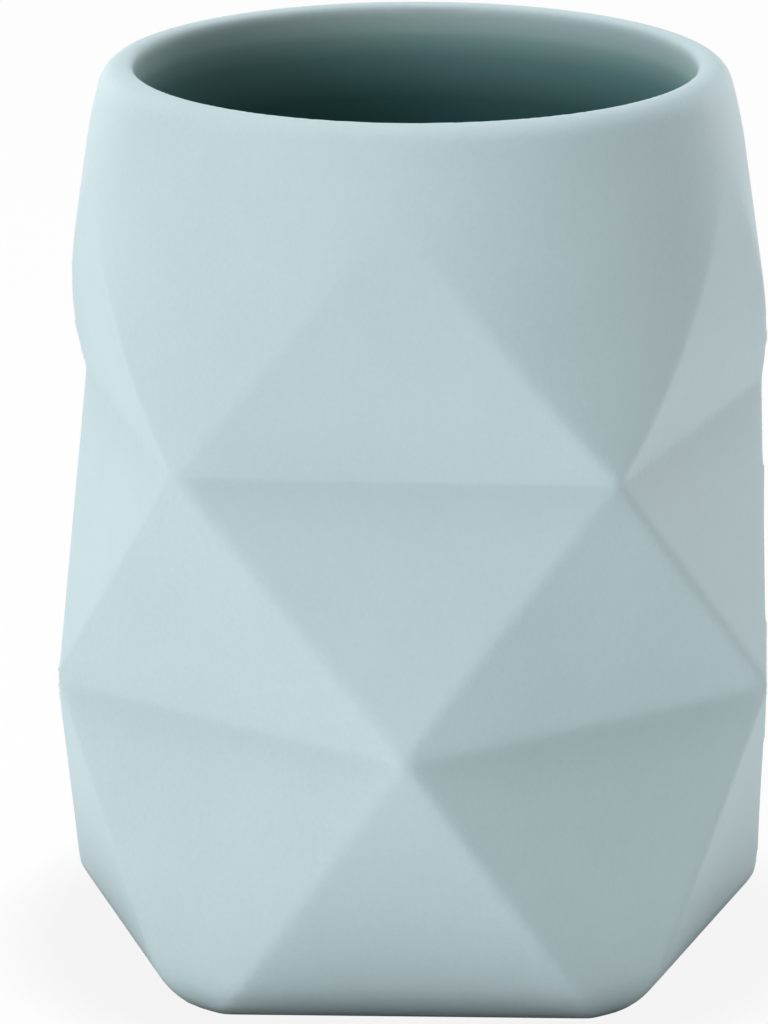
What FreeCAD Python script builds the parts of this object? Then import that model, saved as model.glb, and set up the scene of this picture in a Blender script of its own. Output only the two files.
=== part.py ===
import FreeCAD, Part
import math
import os

from FreeCAD import Vector

# Bathroom tumbler: a one-piece cast resin beaker, faceted outside and smooth inside, standing on
# soft pads that are glued into pockets in its base. Millimetres, +Z up. The origin is on the
# vessel's axis, at the surface that it stands on, and the front faces -Y.

# Overall form
overall_height = 100.0
facet_count = 5

# Two rings of points where the facets meet. The lower ring is turned by half a facet and a little more,
# in degrees, and its points stand out by a small step
upper_ring_radius = 40.0
lower_ring_step = 0.9
lower_ring_height = 33.4
ring_spacing = 28.4
lower_turn = 2.0

# Base outline: a long flat under each point of the lower ring, blunt corners between the flats
base_flat_inset = 7.7
base_corner_inset = 0.9
base_edge_round = 4.8

# Smooth cone above the facets, and the rim: a small bevel inside, a rounding over the rest of the lip
crease_to_rim = 9.0
mouth_inset = 5.6
lip_thickness = 4.2
rim_bevel = 1.0

# Inside of the vessel; the wall is thinnest behind a valley between two facets
wall_thickness = 3.6
floor_thickness = 7.0
floor_corner_reach = 6.0

# Softness of the ridges and valleys between facets
facet_edge_round = 2.0

# Anti-slip pads and their pockets
pad_diameter = 9.0
pad_thickness = 1.6
pad_clearance = 0.2
pocket_depth = 1.0
pocket_to_base_edge = 2.0

# Worked out from the sizes above
facet_step = 360.0 / facet_count
half_step = facet_step / 2
valley_share = math.cos(math.radians(half_step))
upper_ring_height = lower_ring_height + ring_spacing
lower_ring_radius = upper_ring_radius + lower_ring_step
mouth_radius = upper_ring_radius - mouth_inset
base_flat_depth = lower_ring_radius - base_flat_inset
base_corner_depth = lower_ring_radius - base_corner_inset
crease_top_height = overall_height - crease_to_rim
turn_share = math.cos(math.radians(lower_turn))
upper_valley_depth = upper_ring_radius * valley_share
lower_valley_depth = lower_ring_radius * valley_share
cone_slope = (mouth_radius - upper_ring_radius) / (overall_height - upper_ring_height)
cutter_reach = 2 * max(upper_ring_radius, lower_ring_radius, mouth_radius)
base_height = pad_thickness - pocket_depth
pocket_radius = pad_diameter / 2 + pad_clearance
corner_lean = math.atan2(base_corner_depth - lower_valley_depth, lower_ring_height - base_height)
corner_round_reach = base_edge_round * math.tan(math.pi / 4 + corner_lean / 2)
pad_circle_radius = base_corner_depth - corner_round_reach - pocket_to_base_edge - pocket_radius

AXIS = Vector(0, 0, 1)
ORIGIN = Vector(0, 0, 0)
SAME_PLACE = 0.01


def front(depth, height):
    """A point in the plane x = 0, in front of the axis by a depth."""
    return Vector(0, -depth, height)


def on_cone(height):
    """The front point of the smooth cone at a height."""
    return front(upper_ring_radius + cone_slope * (height - upper_ring_height), height)


def run_to_depth(start, through, depth):
    """Where the straight run from one front point through another reaches a depth."""
    share = (-depth - start.y) / (through.y - start.y)
    return start + (through - start) * share


def rounded(before, corner, after, reach):
    """An arc that rounds a corner, starting and ending at a reach from it."""
    to_before = (before - corner).normalize()
    to_after = (after - corner).normalize()
    half_angle = to_before.getAngle(to_after) / 2
    inward = (to_before + to_after).normalize()
    middle_distance = reach * (1 - math.sin(half_angle)) / math.cos(half_angle)
    return Part.Arc(corner + to_before * reach, corner + inward * middle_distance, corner + to_after * reach)


def arc_to_tangent(start, end, tangent):
    """An arc from a point to an end where its direction is given, in the plane x = 0."""
    across = AXIS.cross(Vector(1, 0, 0)) * tangent.z - AXIS * tangent.y
    chord = start - end
    centre = end + across * (chord.Length ** 2 / (2 * chord.dot(across)))
    half_way = (start + end) * 0.5 - centre
    middle = centre + half_way.normalize() * (end - centre).Length
    return Part.Arc(start, middle, end)


def section(*pieces):
    """A flat face whose outline takes points and arcs in turn, joined by straight lines."""
    edges = []
    ends = []
    for piece in pieces:
        if isinstance(piece, Vector):
            ends.append((piece, piece))
        else:
            ends.append((piece.StartPoint, piece.EndPoint))
            edges.append(piece.toShape())
    for (_, here), (there, _) in zip(ends, ends[1:] + ends[:1]):
        if here.distanceToPoint(there) > SAME_PLACE:
            edges.append(Part.LineSegment(here, there).toShape())
    return Part.Face(Part.Wire(Part.__sortEdges__(edges)))


def turned_about_axis(shape, angle):
    """A copy of a shape, turned about the vessel's axis."""
    copy = shape.copy()
    copy.rotate(ORIGIN, AXIS, angle)
    return copy


def all_round(shape, start_angle=0.0):
    """Copies of a shape, one at each facet step round the axis."""
    return [turned_about_axis(shape, start_angle + place * facet_step) for place in range(facet_count)]


def groove_cutter(*pieces):
    """A long level cutter with the given section, across the front of the vessel."""
    cutter = section(*pieces).extrude(Vector(2 * cutter_reach, 0, 0))
    cutter.translate(Vector(-cutter_reach, 0, 0))
    return cutter


def inner_wall_point(height):
    """A front point on the vessel's tapered inner wall."""
    bore_radius = mouth_radius - lip_thickness
    thin_places = (
        (upper_valley_depth, upper_ring_height),
        (lower_valley_depth, lower_ring_height),
        (base_flat_depth, base_height),
    )
    taper = max(
        (bore_radius - depth + wall_thickness) / (overall_height - place) for depth, place in thin_places
    )
    return front(bore_radius - taper * (overall_height - height), height)


def turned_vessel():
    """The vessel before its facets are cut: smooth cone, rounded rim and tapered inside."""
    waist_height = (upper_ring_height + lower_ring_height) / 2
    floor_height = base_height + floor_thickness
    mouth_edge = on_cone(overall_height)
    bore_edge = inner_wall_point(overall_height)
    floor_edge = inner_wall_point(floor_height)
    floor_middle = front(0, floor_height)
    vessel = section(
        front(0, base_height),
        front(cutter_reach, base_height),
        front(cutter_reach, waist_height),
        on_cone(waist_height),
        rounded(on_cone(waist_height), mouth_edge, bore_edge, lip_thickness - rim_bevel),
        bore_edge + (mouth_edge - bore_edge).normalize() * rim_bevel,
        bore_edge + (floor_edge - bore_edge).normalize() * rim_bevel,
        rounded(bore_edge, floor_edge, floor_middle, floor_corner_reach),
        floor_middle,
    ).revolve(ORIGIN, AXIS, 360)
    return turned_about_axis(vessel, half_step)


def upper_groove():
    """Cutter for an upper facet, which crowns and fades into the cone, and the facet below it."""
    valley = front(upper_valley_depth, upper_ring_height)
    fade = on_cone(crease_top_height)
    cone_run = (on_cone(overall_height) - on_cone(upper_ring_height)).normalize()
    lower_point = front(lower_ring_radius * turn_share, lower_ring_height)
    return groove_cutter(
        arc_to_tangent(valley, fade, cone_run),
        front(cutter_reach, crease_top_height),
        run_to_depth(valley, lower_point, cutter_reach),
    )


def lower_groove():
    """Cutter for the two facets that meet in a valley between two points of the lower ring."""
    valley = front(lower_valley_depth, lower_ring_height)
    upper_point = front(upper_ring_radius * turn_share, upper_ring_height)
    base_corner = front(base_corner_depth, base_height)
    return groove_cutter(
        valley,
        run_to_depth(valley, upper_point, cutter_reach),
        run_to_depth(valley, base_corner, cutter_reach),
    )


def base_facet():
    """Cutter for the facet that leans in from a point of the lower ring to a flat of the base."""
    base_flat = front(base_flat_depth, base_height)
    lower_point = front(lower_ring_radius, lower_ring_height)
    low_end = run_to_depth(lower_point, base_flat, 0)
    return groove_cutter(
        low_end,
        front(cutter_reach, low_end.z),
        run_to_depth(base_flat, lower_point, cutter_reach),
    )


def on_ring(vertex, radius, height):
    """Whether a corner lies on a ring about the axis."""
    point = vertex.Point
    return (
        abs(math.hypot(point.x, point.y) - radius) < SAME_PLACE
        and abs(point.z - height) < SAME_PLACE
    )


def is_base_edge(edge):
    """Whether an edge lies in the base plane."""
    return all(abs(end.Point.z - base_height) < SAME_PLACE for end in edge.Vertexes)


def is_facet_edge(edge):
    """Whether an edge is a ridge or a valley that runs between the rings or down to the base."""
    return any(on_ring(end, lower_ring_radius, lower_ring_height) for end in edge.Vertexes) or all(
        on_ring(end, upper_ring_radius, upper_ring_height) for end in edge.Vertexes
    )


def pad():
    """One anti-slip pad, a plain disc under the front of the base."""
    return Part.makeCylinder(pad_diameter / 2, pad_thickness, front(pad_circle_radius, 0))


def pocket():
    """The pocket in the base that one pad is glued into."""
    return Part.makeCylinder(pocket_radius, pocket_depth, front(pad_circle_radius, base_height))


def tumbler_body():
    """The faceted vessel with its rounded edges and the pockets for the pads."""
    cutters = all_round(upper_groove()) + all_round(base_facet(), lower_turn)
    cutters += all_round(lower_groove(), half_step + lower_turn)
    body = turned_vessel().cut(cutters).removeSplitter().Solids[0]
    body = body.makeFillet(base_edge_round, [edge for edge in body.Edges if is_base_edge(edge)])
    body = body.makeFillet(facet_edge_round, [edge for edge in body.Edges if is_facet_edge(edge)])
    return body.cut(all_round(pocket(), half_step + lower_turn)).Solids[0]


os.makedirs("parts", exist_ok=True)
tumbler_body().exportStep("parts/tumbler_body.step")
for number, foot_pad in enumerate(all_round(pad(), half_step + lower_turn), start=1):
    foot_pad.exportStep(f"parts/foot_pad_{number}.step")
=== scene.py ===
import math

import bmesh
import bpy
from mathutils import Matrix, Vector


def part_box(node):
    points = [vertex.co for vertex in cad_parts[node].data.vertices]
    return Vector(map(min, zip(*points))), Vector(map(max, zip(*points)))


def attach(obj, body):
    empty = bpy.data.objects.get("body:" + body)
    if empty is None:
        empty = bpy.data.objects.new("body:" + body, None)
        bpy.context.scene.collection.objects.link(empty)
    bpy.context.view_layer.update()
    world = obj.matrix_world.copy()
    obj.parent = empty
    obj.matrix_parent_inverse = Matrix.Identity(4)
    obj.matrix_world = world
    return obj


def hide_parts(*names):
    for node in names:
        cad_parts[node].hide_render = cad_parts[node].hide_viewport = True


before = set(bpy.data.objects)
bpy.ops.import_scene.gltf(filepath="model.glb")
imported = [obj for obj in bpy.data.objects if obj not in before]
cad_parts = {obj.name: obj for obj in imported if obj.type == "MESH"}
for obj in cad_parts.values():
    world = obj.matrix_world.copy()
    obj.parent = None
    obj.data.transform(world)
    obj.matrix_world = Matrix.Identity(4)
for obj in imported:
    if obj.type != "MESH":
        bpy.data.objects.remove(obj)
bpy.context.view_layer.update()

# A faceted bathroom tumbler: a vessel of cast resin, and soft pads in pockets under its base.
# Metres, +Z up. The front faces -Y, and the origin is on the vessel's axis, on the surface that
# the pads stand on.
MM = 0.001

# Overall form of the vessel, as in the CAD part
HEIGHT = 100.0 * MM
FACETS = 5
MOUTH_RADIUS = 34.4 * MM
WALL = 3.6 * MM
BASE_HEIGHT = 0.6 * MM
FLOOR_HEIGHT = 7.6 * MM
FLOOR_CORNER = 6.0 * MM

# Two rings of points where the facets meet, as in the CAD part. The lower band of facets is turned
# a little against the upper one, whose creases fade out below the rim
UPPER_RING_RADIUS = 40.0 * MM
UPPER_RING_HEIGHT = 61.8 * MM
LOWER_RING_RADIUS = 40.9 * MM
LOWER_RING_HEIGHT = 33.4 * MM
LOWER_TURN = math.radians(2.0)
CREASE_TOP = 91.0 * MM

# Rim and base edge. They are within a millimetre of the CAD part: the rim is crowned and the base
# edge is rounder, as on the finished casting
LIP = 3.9 * MM
CROWN_HEIGHT = 6.5 * MM
CROWN_INSET = 0.7 * MM
RIM_OUTER_ROUND = 2.2 * MM
RIM_INNER_ROUND = 0.9 * MM
BASE_FLAT_DEPTH = 33.6 * MM
BASE_CORNER_DEPTH = 39.75 * MM
BASE_ROUND = 5.9 * MM

# Pads and their pockets
POCKET_RADIUS = 4.7 * MM
POCKET_DEPTH = 1.0 * MM
PAD_EDGE = 0.3 * MM
PAD_FACE_INSET = 1.5 * MM

# Steps in circles, arcs and roundings
ROUND_STEPS = 180
PAD_STEPS = 64
FACET_ARC_STEPS = 20
FLOOR_CORNER_STEPS = 8
RIM_OUTER_STEPS = 10
RIM_INNER_STEPS = 5
CROWN_STEPS = 6
BASE_STEPS = 10
PAD_EDGE_STEPS = 4

# Softening of the vessel's surface: a fine even mesh is smoothed all over, then again where the
# ridges and valleys are, and thinned
VOXEL = 0.6 * MM
SMOOTHING = 0.5
EVEN_STEPS = 2
SOFTEN_STEPS = 4
TRIANGLE_LIMIT = 190000
SMOOTH_ANGLE = math.radians(40)

# How near counts as the same place, as on a circle, as flat and as level; and a reach that takes
# the cutters clear of the vessel
SAME_PLACE = 0.01 * MM
NEAR_CIRCLE = 0.05 * MM
FLAT_ANGLE = math.radians(0.05)
LEVEL = 0.99
CUTTER_REACH = 90.0 * MM

# Worked out from the sizes above
FACET_STEP = 2 * math.pi / FACETS
HALF_STEP = FACET_STEP / 2
UPPER_VALLEY = UPPER_RING_RADIUS * math.cos(HALF_STEP)
LOWER_VALLEY = LOWER_RING_RADIUS * math.cos(HALF_STEP)
TURN_SHARE = math.cos(LOWER_TURN)
CONE_SLOPE = (MOUTH_RADIUS - UPPER_RING_RADIUS) / (HEIGHT - UPPER_RING_HEIGHT)
CROWN_START = HEIGHT - CROWN_HEIGHT
BORE = MOUTH_RADIUS - LIP


def cone_radius(height):
    """Radius of the smooth cone that the upper facets are cut into."""
    return UPPER_RING_RADIUS + CONE_SLOPE * (height - UPPER_RING_HEIGHT)


def front(depth, height):
    """A point in front of the axis by a depth."""
    return Vector((0, -depth, height))


def run_to_depth(start, through, depth):
    """Where the straight run from one front point through another reaches a depth."""
    return start + (through - start) * ((-depth - start.y) / (through.y - start.y))


# Small helpers for modelling by hand


def only(piece):
    """Deselects everything, then selects one piece and makes it active."""
    bpy.ops.object.select_all(action="DESELECT")
    piece.select_set(True)
    bpy.context.view_layer.objects.active = piece


def edit(piece):
    """Opens one piece in edit mode, with nothing of it selected."""
    only(piece)
    bpy.ops.object.mode_set(mode="EDIT")
    bpy.ops.mesh.select_all(action="DESELECT")


def done():
    """Leaves edit mode."""
    bpy.ops.object.mode_set(mode="OBJECT")


def choose(piece, kind, test):
    """Selects the vertices, edges or faces of the piece in edit mode that pass a test."""
    mesh = bmesh.from_edit_mesh(piece.data)
    bpy.ops.mesh.select_mode(type={"verts": "VERT", "edges": "EDGE", "faces": "FACE"}[kind])
    for item in getattr(mesh, kind):
        item.select_set(test(item))
    mesh.select_flush_mode()
    bmesh.update_edit_mesh(piece.data)


def at_height(edge, height):
    """Whether an edge lies at a height."""
    return all(abs(end.co.z - height) < SAME_PLACE for end in edge.verts)


def on_circle(edge, radius, height):
    """Whether an edge lies on a level circle about the axis."""
    return at_height(edge, height) and all(
        abs(end.co.xy.length - radius) < NEAR_CIRCLE for end in edge.verts
    )


def round_circle(piece, radius, height, offset, steps):
    """Rounds the edge of the piece in edit mode that runs along a level circle about the axis."""
    choose(piece, "edges", lambda edge: on_circle(edge, radius, height))
    bpy.ops.mesh.bevel(offset=offset, segments=steps, affect="EDGES")


def narrow(share, height):
    """Draws what is selected at a height in towards the axis, to a share of its width."""
    bpy.ops.transform.resize(value=(share, share, 1), center_override=(0, 0, height))


def modify(piece, kind, **settings):
    """Adds a modifier with its settings and applies it."""
    only(piece)
    modifier = piece.modifiers.new(kind.lower(), kind)
    for name, value in settings.items():
        setattr(modifier, name, value)
    bpy.ops.object.modifier_apply(modifier=modifier.name)


def cut(piece, cutter):
    """Cuts a piece with a cutter, then clears the cutter away."""
    modify(piece, "BOOLEAN", operation="DIFFERENCE", solver="MANIFOLD", object=cutter)
    bpy.data.objects.remove(cutter)


def copied(piece):
    """A copy of a piece with its own mesh."""
    copy = piece.copy()
    copy.data = piece.data.copy()
    bpy.context.collection.objects.link(copy)
    return copy


def named(name):
    """Gives the active object and its mesh a name, and moves its place into its mesh."""
    piece = bpy.context.object
    piece.name = piece.data.name = name
    only(piece)
    bpy.ops.object.transform_apply(location=True, rotation=True, scale=True)
    return piece


# The vessel


def vessel_blank():
    """A plain cone with its inside hollowed out and its rim and floor corner rounded."""
    bpy.ops.mesh.primitive_cone_add(
        vertices=ROUND_STEPS,
        radius1=cone_radius(BASE_HEIGHT),
        radius2=MOUTH_RADIUS,
        depth=HEIGHT - BASE_HEIGHT,
        location=(0, 0, (HEIGHT + BASE_HEIGHT) / 2),
        end_fill_type="NGON",
    )
    vessel = named("tumbler_vessel")
    mouth = MOUTH_RADIUS - CROWN_INSET
    # The inner wall leans in by as much as leaves the wall's thickness behind an upper valley
    lean = (BORE - UPPER_VALLEY + WALL) * (HEIGHT - FLOOR_HEIGHT) / (HEIGHT - UPPER_RING_HEIGHT)
    floor_radius = BORE - lean
    edit(vessel)
    bpy.ops.mesh.select_all(action="SELECT")
    bpy.ops.mesh.bisect(plane_co=(0, 0, CROWN_START), plane_no=(0, 0, 1))
    choose(vessel, "faces", lambda face: face.normal.z > LEVEL)
    narrow(mouth / MOUTH_RADIUS, HEIGHT)
    bpy.ops.mesh.inset(thickness=mouth - BORE)
    bpy.ops.mesh.extrude_region_move(
        TRANSFORM_OT_translate={"value": (0, 0, FLOOR_HEIGHT - HEIGHT)}
    )
    narrow(floor_radius / BORE, FLOOR_HEIGHT)
    round_circle(vessel, floor_radius, FLOOR_HEIGHT, FLOOR_CORNER, FLOOR_CORNER_STEPS)
    round_circle(vessel, BORE, HEIGHT, RIM_INNER_ROUND, RIM_INNER_STEPS)
    round_circle(vessel, mouth, HEIGHT, RIM_OUTER_ROUND, RIM_OUTER_STEPS)
    round_circle(vessel, cone_radius(CROWN_START), CROWN_START, RIM_OUTER_ROUND, CROWN_STEPS)
    done()
    return vessel


def cutter_start(name, place):
    """One point, from which a cutter's section is drawn."""
    bpy.ops.mesh.primitive_plane_add(size=MM, location=place)
    cutter = named(name)
    edit(cutter)
    bpy.ops.mesh.select_mode(type="VERT")
    bpy.ops.mesh.select_all(action="SELECT")
    bpy.ops.mesh.merge(type="CENTER")
    return cutter


def draw_to(here, there):
    """Draws a cutter's section on, from its last point to the next one."""
    bpy.ops.mesh.extrude_region_move(TRANSFORM_OT_translate={"value": there - here})


def finish_cutter(cutter):
    """Closes the drawn section and pulls it out to a long bar across the front."""
    bpy.ops.mesh.select_all(action="SELECT")
    bpy.ops.mesh.remove_doubles(threshold=SAME_PLACE)
    bpy.ops.mesh.edge_face_add()
    bpy.ops.transform.translate(value=(-CUTTER_REACH, 0, 0))
    bpy.ops.mesh.extrude_region_move(TRANSFORM_OT_translate={"value": (2 * CUTTER_REACH, 0, 0)})
    bpy.ops.mesh.select_all(action="SELECT")
    bpy.ops.mesh.normals_make_consistent(inside=False)
    done()
    return cutter


def upper_groove():
    """Cutter for an upper facet, which crowns and fades into the cone, and the facet below it."""
    valley = front(UPPER_VALLEY, UPPER_RING_HEIGHT)
    fade = front(cone_radius(CREASE_TOP), CREASE_TOP)
    # The crowned flank is an arc through the valley that runs along the cone where it fades out
    run = Vector((0, -CONE_SLOPE, 1)).normalized()
    across = Vector((0, run.z, -run.y))
    chord = valley - fade
    centre = fade + across * (chord.length_squared / (2 * chord.dot(across)))
    turn = (valley - centre).angle(fade - centre)
    cutter = cutter_start("upper_groove", valley)
    bpy.ops.mesh.spin(steps=FACET_ARC_STEPS, angle=turn, center=centre, axis=(1, 0, 0))
    high_end = front(CUTTER_REACH, CREASE_TOP)
    draw_to(fade, high_end)
    lower_point = front(LOWER_RING_RADIUS * TURN_SHARE, LOWER_RING_HEIGHT)
    draw_to(high_end, run_to_depth(valley, lower_point, CUTTER_REACH))
    return finish_cutter(cutter)


def lower_groove():
    """Cutter for the two facets that meet in a valley between two points of the lower ring."""
    valley = front(LOWER_VALLEY, LOWER_RING_HEIGHT)
    upper_point = front(UPPER_RING_RADIUS * TURN_SHARE, UPPER_RING_HEIGHT)
    base_corner = front(BASE_CORNER_DEPTH, BASE_HEIGHT)
    high_end = run_to_depth(valley, upper_point, CUTTER_REACH)
    cutter = cutter_start("lower_groove", valley)
    draw_to(valley, high_end)
    draw_to(high_end, run_to_depth(valley, base_corner, CUTTER_REACH))
    return finish_cutter(cutter)


def base_facet():
    """Cutter for the facet that leans in from a point of the lower ring to a flat of the base."""
    base_flat = front(BASE_FLAT_DEPTH, BASE_HEIGHT)
    lower_point = front(LOWER_RING_RADIUS, LOWER_RING_HEIGHT)
    low_end = run_to_depth(lower_point, base_flat, 0)
    high_end = run_to_depth(base_flat, lower_point, CUTTER_REACH)
    cutter = cutter_start("base_facet", low_end)
    draw_to(low_end, high_end)
    draw_to(high_end, front(CUTTER_REACH, low_end.z))
    return finish_cutter(cutter)


def cut_all_round(piece, cutter, first_angle):
    """Cuts a piece with copies of a cutter, one at each facet step round the axis."""
    for place in range(FACETS):
        copy = copied(cutter)
        copy.rotation_euler.z = first_angle + place * FACET_STEP
        cut(piece, copy)
    bpy.data.objects.remove(cutter)


def pad_centre(number):
    """The middle of a CAD pad."""
    low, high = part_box(f"foot_pad_{number}")
    return (low + high) / 2


def sink_pad_pockets(vessel):
    """Sinks the pockets that the pads are glued into."""
    for number in range(1, FACETS + 1):
        centre = pad_centre(number)
        bpy.ops.mesh.primitive_cylinder_add(
            vertices=PAD_STEPS,
            radius=POCKET_RADIUS,
            depth=2 * POCKET_DEPTH,
            location=(centre.x, centre.y, BASE_HEIGHT),
        )
        cut(vessel, named("pocket_drill"))


def is_faceted_side(point):
    """Whether a point is on the outside or the underside, below the top of the creases."""
    inner_limit = BORE + WALL / 3 if point.co.z > BASE_HEIGHT + WALL else 0
    return point.co.z < CREASE_TOP and point.co.xy.length > inner_limit


def tumbler_vessel():
    """The faceted vessel, with every edge softened as a cast and lacquered piece has them."""
    vessel = vessel_blank()
    cut_all_round(vessel, upper_groove(), 0)
    cut_all_round(vessel, lower_groove(), HALF_STEP + LOWER_TURN)
    cut_all_round(vessel, base_facet(), LOWER_TURN)
    edit(vessel)
    bpy.ops.mesh.select_all(action="SELECT")
    bpy.ops.mesh.remove_doubles(threshold=SAME_PLACE)
    bpy.ops.mesh.dissolve_limited(angle_limit=FLAT_ANGLE)
    choose(vessel, "edges", lambda edge: at_height(edge, BASE_HEIGHT))
    bpy.ops.mesh.bevel(offset=BASE_ROUND, segments=BASE_STEPS, affect="EDGES")
    # The remesh loses volume on faces with many corners, so it gets triangles
    bpy.ops.mesh.select_all(action="SELECT")
    bpy.ops.mesh.quads_convert_to_tris(quad_method="BEAUTY", ngon_method="BEAUTY")
    done()
    modify(vessel, "REMESH", mode="VOXEL", voxel_size=VOXEL)
    modify(vessel, "SMOOTH", factor=SMOOTHING, iterations=EVEN_STEPS)
    edit(vessel)
    choose(vessel, "verts", is_faceted_side)
    bpy.ops.object.vertex_group_add()
    bpy.ops.object.vertex_group_assign()
    done()
    faceted = vessel.vertex_groups[0].name
    modify(vessel, "SMOOTH", factor=SMOOTHING, iterations=SOFTEN_STEPS, vertex_group=faceted)
    vessel.vertex_groups.clear()
    modify(vessel, "DECIMATE", ratio=TRIANGLE_LIMIT / (2 * len(vessel.data.polygons)))
    sink_pad_pockets(vessel)
    only(vessel)
    bpy.ops.object.shade_smooth_by_angle(angle=SMOOTH_ANGLE)
    return vessel


# The pads


def foot_pad():
    """A soft disc with a rounded lower edge, for the first pocket."""
    low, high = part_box("foot_pad_1")
    bpy.ops.mesh.primitive_cylinder_add(
        vertices=PAD_STEPS,
        radius=(high.x - low.x) / 2,
        depth=high.z - low.z,
        location=pad_centre(1),
    )
    pad = named("foot_pad_disc_1")
    edit(pad)
    choose(pad, "edges", lambda edge: at_height(edge, low.z))
    bpy.ops.mesh.bevel(offset=PAD_EDGE, segments=PAD_EDGE_STEPS, affect="EDGES")
    choose(pad, "faces", lambda face: abs(face.normal.z) > LEVEL and len(face.verts) > 4)
    bpy.ops.mesh.inset(thickness=PAD_FACE_INSET)
    bpy.ops.mesh.poke()
    done()
    only(pad)
    bpy.ops.object.shade_smooth_by_angle(angle=SMOOTH_ANGLE)
    return pad


def all_pads(first):
    """The first pad and its copies, each moved to its own CAD pad."""
    pads = [first]
    for number in range(2, FACETS + 1):
        pad = copied(first)
        pad.name = pad.data.name = f"foot_pad_disc_{number}"
        only(pad)
        bpy.ops.transform.translate(value=pad_centre(number) - pad_centre(1))
        bpy.ops.object.transform_apply(location=True, rotation=True, scale=True)
        pads.append(pad)
    return pads


vessel = tumbler_vessel()
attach(vessel, "root")
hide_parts("tumbler_body")

pads = all_pads(foot_pad())
for number, pad in enumerate(pads, start=1):
    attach(pad, "root")
    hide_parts(f"foot_pad_{number}")

# Finishes


def linear(colour):
    """An sRGB hex colour in the linear values that a shader takes."""
    parts = [int(colour[place:place + 2], 16) / 255 for place in (1, 3, 5)]
    return tuple(
        part / 12.92 if part <= 0.04045 else ((part + 0.055) / 1.055) ** 2.4 for part in parts
    ) + (1.0,)


def add(tree, kind, inputs=None, **settings):
    """A node with its settings; an input is either a value or the output that feeds it."""
    node = tree.nodes.new(kind)
    for name, value in settings.items():
        setattr(node, name, value)
    for socket, value in (inputs or {}).items():
        if isinstance(value, bpy.types.NodeSocket):
            tree.links.new(value, node.inputs[socket])
        else:
            node.inputs[socket].default_value = value
    return node


def finish_named(name):
    """A new material with its node tree and its shader."""
    material = bpy.data.materials.new(name)
    material.use_nodes = True
    return material, material.node_tree, material.node_tree.nodes["Principled BSDF"]


def per(size):
    """The scale at which a pattern repeats once in a size."""
    return 1 / size


# Cast polyester resin, filled with fine mineral and sprayed with a matte lacquer: a pale grey-blue
# that is even at a glance and a little cloudy close up, with a faint wide sheen and a slight
# unevenness from the spray. Painted shade darkens the upward side of each valley, under the
# overhanging facet, most of all low down. The inside is painted darker and a deeper teal the
# further it is under the rim, as painted shade. The mineral's grain is finer than a tenth of a
# millimetre, and is drawn coarser so that it shows.
CLOUD = 22 * MM
GRAIN = 0.5 * MM
GRAIN_SHARE = 0.35
SPRAY = 1.4 * MM
SPRAY_DEPTH = 0.05 * MM
SPRAY_STRENGTH = 0.15
RESIN_PALE = ((0.3, "#B8CCD0"), (0.7, "#C0D4D8"))
# Colour of the painted shade in the valleys
RESIN_PAINTED_SHADE = "#9FB3B7"
RESIN_ROUGHNESS = (0.56, 0.64)
RESIN_GLOSS = 0.25
RESIN_IOR = 1.5

# Painted shade in the valleys: how far a valley shelters a point, how sheltered it has to be, how
# far the surface faces upwards, and the heights between which the shade gets less, down to a share
PAINTED_SHADE_REACH = 9 * MM
PAINTED_SHADE_SHELTER = (0.86, 0.985)
PAINTED_SHADE_UPWARD = (-0.05, 0.1)
PAINTED_SHADE_HEIGHTS = (45 * MM, 62 * MM)
PAINTED_SHADE_SHARE_HIGH = 0.25

# Painted shade inside: the radii and the heights between which it starts, the depth under the rim
# that its colours run over, and its colours by their share of that depth
INSIDE_SHADE_RADII = (31.2 * MM, 32.0 * MM)
INSIDE_SHADE_HEIGHTS = (3 * MM, 5 * MM)
INSIDE_SHADE_DEPTH = 30 * MM
INSIDE_SHADE_AT_RIM = "#BED0D5"
INSIDE_SHADE_BETWEEN = (
    (0.06, "#B6CFD0"),
    (0.1, "#A8C8C6"),
    (0.13, "#8CB0AE"),
    (0.2, "#689190"),
    (0.36, "#396462"),
    (0.55, "#265150"),
)
INSIDE_SHADE_DEEP = "#1C423F"

resin, tree, shader = finish_named("cast_resin_matte_lacquered")
where = add(tree, "ShaderNodeTexCoord").outputs
place = where["Object"]
height = add(tree, "ShaderNodeSeparateXYZ", {"Vector": place}).outputs["Z"]

# Pale, a little cloudy colour with a fine grain
cloud = add(tree, "ShaderNodeTexNoise", {"Vector": place, "Scale": per(CLOUD), "Detail": 3.0})
grain = add(tree, "ShaderNodeTexNoise", {"Vector": place, "Scale": per(GRAIN), "Detail": 2.0})
mottle = add(
    tree,
    "ShaderNodeMix",
    {"Factor": GRAIN_SHARE, "A": cloud.outputs["Fac"], "B": grain.outputs["Fac"]},
)
pale = add(tree, "ShaderNodeValToRGB", {"Fac": mottle.outputs["Result"]})
for element, (share, colour) in zip(pale.color_ramp.elements, RESIN_PALE):
    element.position = share
    element.color = linear(colour)

# Painted shade on the upward side of each valley, deeper low down
shelter = add(
    tree,
    "ShaderNodeAmbientOcclusion",
    {"Distance": PAINTED_SHADE_REACH},
    samples=12,
    only_local=True,
)
sheltered = add(
    tree,
    "ShaderNodeMapRange",
    {
        "Value": shelter.outputs["AO"],
        "From Min": PAINTED_SHADE_SHELTER[0],
        "From Max": PAINTED_SHADE_SHELTER[1],
        "To Min": 1.0,
        "To Max": 0.0,
    },
)
facing = add(tree, "ShaderNodeSeparateXYZ", {"Vector": where["Normal"]}).outputs["Z"]
upward = add(
    tree,
    "ShaderNodeMapRange",
    {"Value": facing, "From Min": PAINTED_SHADE_UPWARD[0], "From Max": PAINTED_SHADE_UPWARD[1]},
)
low_down = add(
    tree,
    "ShaderNodeMapRange",
    {
        "Value": height,
        "From Min": PAINTED_SHADE_HEIGHTS[0],
        "From Max": PAINTED_SHADE_HEIGHTS[1],
        "To Min": 1.0,
        "To Max": PAINTED_SHADE_SHARE_HIGH,
    },
)
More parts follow.
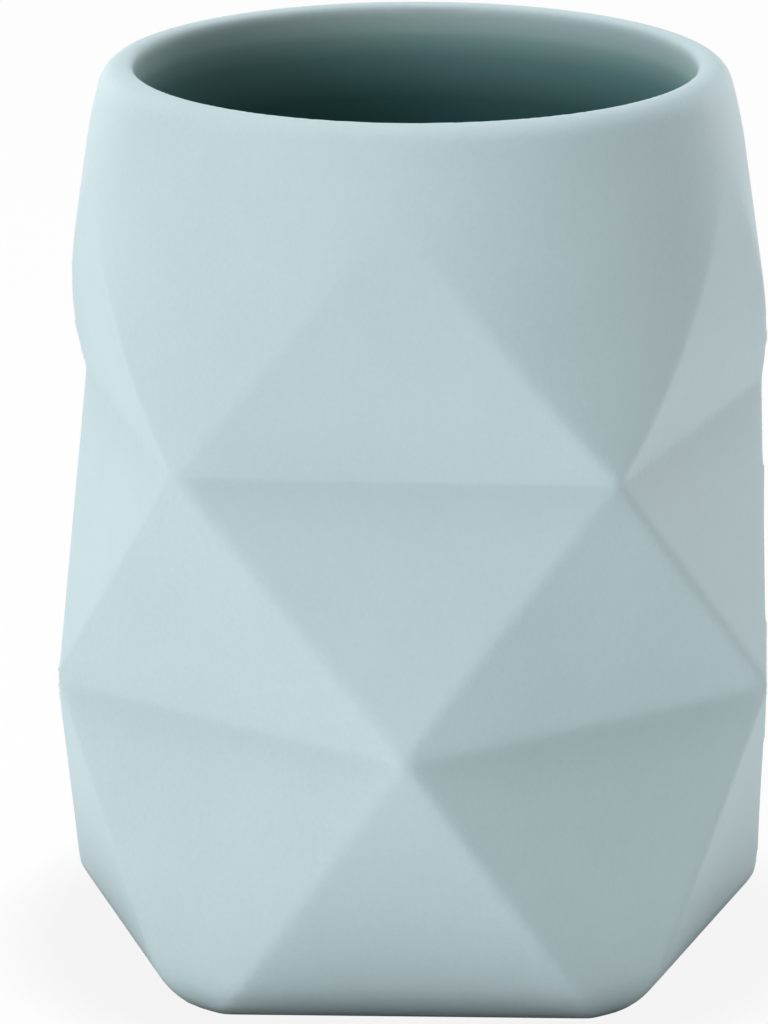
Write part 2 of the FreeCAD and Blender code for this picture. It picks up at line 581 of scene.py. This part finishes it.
valley_shade = add(
    tree,
    "ShaderNodeMath",
    {0: sheltered.outputs["Result"], 1: upward.outputs["Result"]},
    operation="MULTIPLY",
)
painted_valley_shade = add(
    tree,
    "ShaderNodeMath",
    {0: valley_shade.outputs["Value"], 1: low_down.outputs["Result"]},
    operation="MULTIPLY",
)
outside = add(
    tree,
    "ShaderNodeMix",
    {
        "Factor": painted_valley_shade.outputs["Value"],
        "A": pale.outputs["Color"],
        "B": linear(RESIN_PAINTED_SHADE),
    },
    data_type="RGBA",
)

# Painted shade inside, darker and deeper teal with depth under the rim, by its radius and its
# height
level = add(tree, "ShaderNodeVectorMath", {0: place, 1: (1.0, 1.0, 0.0)}, operation="MULTIPLY")
radius = add(tree, "ShaderNodeVectorMath", {0: level.outputs["Vector"]}, operation="LENGTH")
within = add(
    tree,
    "ShaderNodeMapRange",
    {
        "Value": radius.outputs["Value"],
        "From Min": INSIDE_SHADE_RADII[0],
        "From Max": INSIDE_SHADE_RADII[1],
        "To Min": 1.0,
        "To Max": 0.0,
    },
)
above = add(
    tree,
    "ShaderNodeMapRange",
    {"Value": height, "From Min": INSIDE_SHADE_HEIGHTS[0], "From Max": INSIDE_SHADE_HEIGHTS[1]},
)
inside = add(
    tree,
    "ShaderNodeMath",
    {0: within.outputs["Result"], 1: above.outputs["Result"]},
    operation="MULTIPLY",
)
depth = add(
    tree,
    "ShaderNodeMapRange",
    {"Value": height, "From Min": HEIGHT, "From Max": HEIGHT - INSIDE_SHADE_DEPTH},
)
# Painted shade: the colours run from pale at the rim to deep teal lower inside
inside_shade = add(tree, "ShaderNodeValToRGB", {"Fac": depth.outputs["Result"]})
inside_shade.color_ramp.elements[0].color = linear(INSIDE_SHADE_AT_RIM)
inside_shade.color_ramp.elements[1].color = linear(INSIDE_SHADE_DEEP)
for share, colour in INSIDE_SHADE_BETWEEN:
    inside_shade.color_ramp.elements.new(share).color = linear(colour)
both = add(
    tree,
    "ShaderNodeMix",
    {
        "Factor": inside.outputs["Value"],
        "A": outside.outputs["Result"],
        "B": inside_shade.outputs["Color"],
    },
    data_type="RGBA",
)
tree.links.new(both.outputs["Result"], shader.inputs["Base Color"])

# Sheen that varies with the clouds, and the unevenness of the spray
sheen = add(
    tree,
    "ShaderNodeMapRange",
    {
        "Value": cloud.outputs["Fac"],
        "From Min": RESIN_PALE[0][0],
        "From Max": RESIN_PALE[1][0],
        "To Min": RESIN_ROUGHNESS[0],
        "To Max": RESIN_ROUGHNESS[1],
    },
)
tree.links.new(sheen.outputs["Result"], shader.inputs["Roughness"])
spray = add(tree, "ShaderNodeTexNoise", {"Vector": place, "Scale": per(SPRAY), "Detail": 2.0})
bump = add(
    tree,
    "ShaderNodeBump",
    {"Height": spray.outputs["Fac"], "Strength": SPRAY_STRENGTH, "Distance": SPRAY_DEPTH},
)
tree.links.new(bump.outputs["Normal"], shader.inputs["Normal"])
shader.inputs["IOR"].default_value = RESIN_IOR
shader.inputs["Specular IOR Level"].default_value = RESIN_GLOSS
vessel.data.materials.clear()
vessel.data.materials.append(resin)

# Silicone rubber, moulded: a milky grey that light enters a little way, with a dull skin that picks
# up dust. The dust and the skin's texture are drawn coarser than they are, so that they show.
DUST = 1.5 * MM
SKIN = 0.4 * MM
SKIN_DEPTH = 0.03 * MM
SKIN_STRENGTH = 0.3
MILK = ((0.35, "#C4C6C1"), (0.75, "#D2D3CE"))
RUBBER_ROUGHNESS = (0.5, 0.75)
RUBBER_IOR = 1.43
RUBBER_LIGHT_DEPTH = 1 * MM
RUBBER_LIGHT_SHARE = 0.2

silicone, tree, shader = finish_named("silicone_rubber_moulded")
place = add(tree, "ShaderNodeTexCoord").outputs["Object"]
dust = add(tree, "ShaderNodeTexNoise", {"Vector": place, "Scale": per(DUST), "Detail": 4.0})
milk = add(tree, "ShaderNodeValToRGB", {"Fac": dust.outputs["Fac"]})
for element, (share, colour) in zip(milk.color_ramp.elements, MILK):
    element.position = share
    element.color = linear(colour)
tree.links.new(milk.outputs["Color"], shader.inputs["Base Color"])
dull = add(
    tree,
    "ShaderNodeMapRange",
    {
        "Value": dust.outputs["Fac"],
        "To Min": RUBBER_ROUGHNESS[0],
        "To Max": RUBBER_ROUGHNESS[1],
    },
)
tree.links.new(dull.outputs["Result"], shader.inputs["Roughness"])
skin = add(tree, "ShaderNodeTexNoise", {"Vector": place, "Scale": per(SKIN)})
bump = add(
    tree,
    "ShaderNodeBump",
    {"Height": skin.outputs["Fac"], "Strength": SKIN_STRENGTH, "Distance": SKIN_DEPTH},
)
tree.links.new(bump.outputs["Normal"], shader.inputs["Normal"])
shader.inputs["IOR"].default_value = RUBBER_IOR
shader.inputs["Subsurface Weight"].default_value = RUBBER_LIGHT_SHARE
shader.inputs["Subsurface Radius"].default_value = (1.0, 1.0, 1.0)
shader.inputs["Subsurface Scale"].default_value = RUBBER_LIGHT_DEPTH
for pad in pads:
    pad.data.materials.clear()
    pad.data.materials.append(silicone)

# Camera at the photo's viewing angle: the image's size in pixels, the focal length in pixels, and
# the pixel that the target is seen at
IMAGE_WIDTH = 768
IMAGE_HEIGHT = 1024
SENSOR_MM = 36
TARGET = Vector((0, 0, 48 * MM))
DISTANCE = 650 * MM
AZIMUTH = math.radians(3.78)
ELEVATION = math.radians(16.4)
FOCAL_PIXELS = 5878.0
CENTRE_X = 415.7
CENTRE_Y = 520.8


def direction(azimuth, elevation):
    """From the target, at an angle to the right of the front and an angle above the level."""
    level = math.cos(elevation)
    return Vector((math.sin(azimuth) * level, -math.cos(azimuth) * level, math.sin(elevation)))


def aimed(name, data, azimuth, elevation, distance):
    """A lamp or camera that looks at the target."""
    thing = bpy.data.objects.new(name, data)
    bpy.context.scene.collection.objects.link(thing)
    way = direction(azimuth, elevation)
    thing.location = TARGET + way * distance
    thing.rotation_euler = way.to_track_quat("Z", "Y").to_euler()
    return thing


camera = aimed("camera", bpy.data.cameras.new("camera"), AZIMUTH, ELEVATION, DISTANCE)
camera.data.sensor_width = SENSOR_MM
camera.data.lens = FOCAL_PIXELS / IMAGE_HEIGHT * SENSOR_MM
camera.data.shift_x = -(CENTRE_X - IMAGE_WIDTH / 2) / IMAGE_HEIGHT
camera.data.shift_y = (CENTRE_Y - IMAGE_HEIGHT / 2) / IMAGE_HEIGHT
bpy.context.scene.camera = camera

bpy.context.scene.view_settings.view_transform = "Standard"

# Light: square softboxes at one distance, each with its azimuth and elevation in degrees, its size
# in metres and its power in watts
SOFTBOX_DISTANCE = 0.9
SOFTBOXES = [
    ("key", -30, 6, 0.4, 2.6),
    ("left", -60, 34, 0.5, 2.2),
    ("right", 60, 6, 0.4, 0.55),
    ("top", 0, 88, 0.9, 5.5),
    ("back high", 180, 60, 0.6, 2.3),
    ("back right", 140, 6, 0.4, 2.5),
    ("back left", -140, 6, 0.4, 2.1),
]
for name, azimuth, elevation, size, power in SOFTBOXES:
    lamp = bpy.data.lights.new(name, "AREA")
    lamp.size = size
    lamp.energy = power
    aimed(name, lamp, math.radians(azimuth), math.radians(elevation), SOFTBOX_DISTANCE)

# Background: white where the camera sees it, directly or in a reflection, and no light of its own
WHITE = linear("#FFFFFF")
world = bpy.data.worlds.new("studio")
bpy.context.scene.world = world
world.use_nodes = True
world.cycles.sampling_method = "NONE"
tree = world.node_tree
rays = add(tree, "ShaderNodeLightPath").outputs
reflected = add(
    tree,
    "ShaderNodeMath",
    {0: rays["Is Glossy Ray"], 1: rays["Is Transmission Ray"]},
    operation="MAXIMUM",
)
seen = add(
    tree,
    "ShaderNodeMath",
    {0: reflected.outputs["Value"], 1: rays["Is Camera Ray"]},
    operation="MAXIMUM",
)
background = tree.nodes["Background"]
background.inputs["Color"].default_value = WHITE
tree.links.new(seen.outputs["Value"], background.inputs["Strength"])

# Floor: white matte paper. The camera sees it mostly as plain white, by a share, and the rest is
# lit paper that keeps the tumbler's shadow. A painted contact shadow darkens it under the tumbler,
# in reflections too, and away from that it shines up a little, as a light table does.
FLOOR_SIZE = 6.0
# Radii between which the painted contact shadow under the tumbler fades out
FLOOR_SHADOW_RADII = (40 * MM, 50 * MM)
FLOOR_WHITE_SHARE = 0.9
FLOOR_LIGHT = 0.27
# Colour of the painted contact shadow
PAINTED_CONTACT_SHADOW = "#1C1C1C"
PAPER_WHITE = "#F4F4F3"
PAPER_ROUGHNESS = 0.9

bpy.ops.mesh.primitive_plane_add(size=FLOOR_SIZE, location=(0, 0, 0))
floor = named("floor")
paper, tree, shader = finish_named("paper_white_matte")
paper.cycles.emission_sampling = "NONE"
place = add(tree, "ShaderNodeTexCoord").outputs["Object"]
away = add(tree, "ShaderNodeVectorMath", {0: place}, operation="LENGTH")
# One away from the tumbler and nought in the painted contact shadow under it
outside_painted_shadow = add(
    tree,
    "ShaderNodeMapRange",
    {"Value": away.outputs["Value"], "From Min": FLOOR_SHADOW_RADII[0], "From Max": FLOOR_SHADOW_RADII[1]},
).outputs["Result"]
shade = add(
    tree,
    "ShaderNodeMix",
    {"Factor": outside_painted_shadow, "A": linear(PAINTED_CONTACT_SHADOW), "B": linear(PAPER_WHITE)},
    data_type="RGBA",
)
tree.links.new(shade.outputs["Result"], shader.inputs["Base Color"])
shader.inputs["Roughness"].default_value = PAPER_ROUGHNESS
shader.inputs["Specular IOR Level"].default_value = 0.0
rays = add(tree, "ShaderNodeLightPath").outputs
reflected = add(
    tree,
    "ShaderNodeMath",
    {0: rays["Is Glossy Ray"], 1: rays["Is Transmission Ray"]},
    operation="MAXIMUM",
)
mirrored = add(
    tree,
    "ShaderNodeMath",
    {0: reflected.outputs["Value"], 1: outside_painted_shadow},
    operation="MULTIPLY",
)
seen = add(
    tree,
    "ShaderNodeMath",
    {0: mirrored.outputs["Value"], 1: rays["Is Camera Ray"]},
    operation="MAXIMUM",
)
share = add(
    tree,
    "ShaderNodeMath",
    {0: seen.outputs["Value"], 1: FLOOR_WHITE_SHARE},
    operation="MULTIPLY",
)
plain = add(tree, "ShaderNodeEmission", {"Color": WHITE, "Strength": 1.0})
mostly_plain = add(
    tree,
    "ShaderNodeMixShader",
    {0: share.outputs["Value"], 1: shader.outputs["BSDF"], 2: plain.outputs["Emission"]},
)
strength = add(tree, "ShaderNodeMath", {0: outside_painted_shadow, 1: FLOOR_LIGHT}, operation="MULTIPLY")
upwards = add(
    tree,
    "ShaderNodeMath",
    {0: strength.outputs["Value"], 1: rays["Is Diffuse Ray"]},
    operation="MULTIPLY",
)
table = add(tree, "ShaderNodeEmission", {"Color": WHITE, "Strength": upwards.outputs["Value"]})
lit = add(
    tree,
    "ShaderNodeAddShader",
    {0: mostly_plain.outputs["Shader"], 1: table.outputs["Emission"]},
)
tree.links.new(lit.outputs["Shader"], tree.nodes["Material Output"].inputs["Surface"])
floor.data.materials.append(paper)
